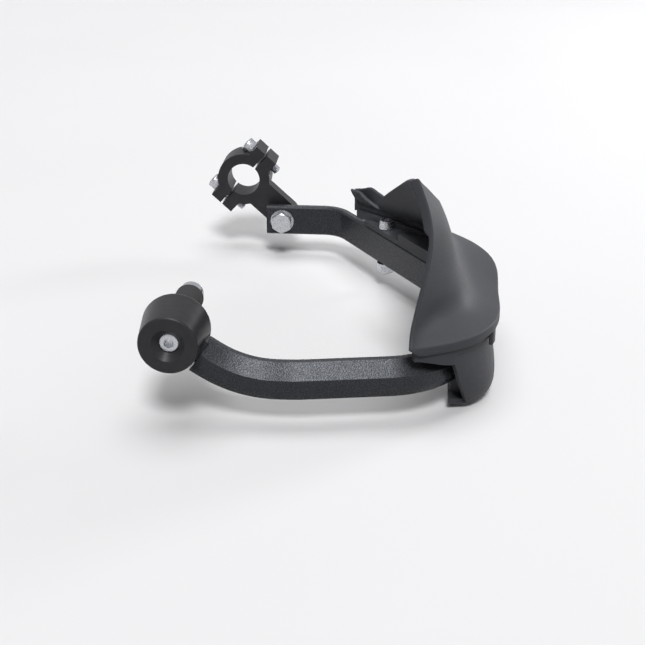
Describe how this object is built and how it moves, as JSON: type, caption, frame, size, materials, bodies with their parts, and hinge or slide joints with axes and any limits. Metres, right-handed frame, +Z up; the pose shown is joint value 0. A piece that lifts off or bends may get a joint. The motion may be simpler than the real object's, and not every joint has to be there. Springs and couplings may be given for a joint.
{
  "type": "motorcycle hand guard",
  "caption": "Right-hand motorcycle hand guard: bevelled bow bent from a bar-end weight round to an inner handlebar clamp, with a moulded lower shell and an upright wind spoiler.",
  "frame": {"origin": "centre of the end face of the handlebar tube that the bar-end weight's spigot goes into", "axes": "+X outboard along the handlebar's axis, +Y forward in the direction of travel, +Z up"},
  "size_m": [0.2963, 0.1965, 0.1305],
  "materials": {
    "black_metal": "satin black anodised",
    "zinc_steel": "zinc plated",
    "bow_coat": "charcoal powder coat with a fine sparkle",
    "shell_plastic": "matt, finely grained",
    "rubber": "matt black"
  },
  "bodies": {
    "root": {"bar_end_weight": "black_metal", "bar_end_screw": "zinc_steel", "expander_sleeve": "rubber", "expander_nut": "zinc_steel", "guard_bow": "bow_coat", "clamp_body": "black_metal", "clamp_cap": "black_metal", "clamp_screws": "zinc_steel", "clamp_washers": "zinc_steel", "clamp_bolt": "zinc_steel", "clamp_nut": "zinc_steel", "spoiler": "shell_plastic", "lower_shell": "shell_plastic", "corner_spacer": "black_metal", "corner_pad": "rubber", "corner_screw": "zinc_steel", "strap_screw": "zinc_steel", "strap_washer": "zinc_steel", "shell_nuts": "zinc_steel", "spoiler_screws": "zinc_steel"}
  },
  "joints": []
}
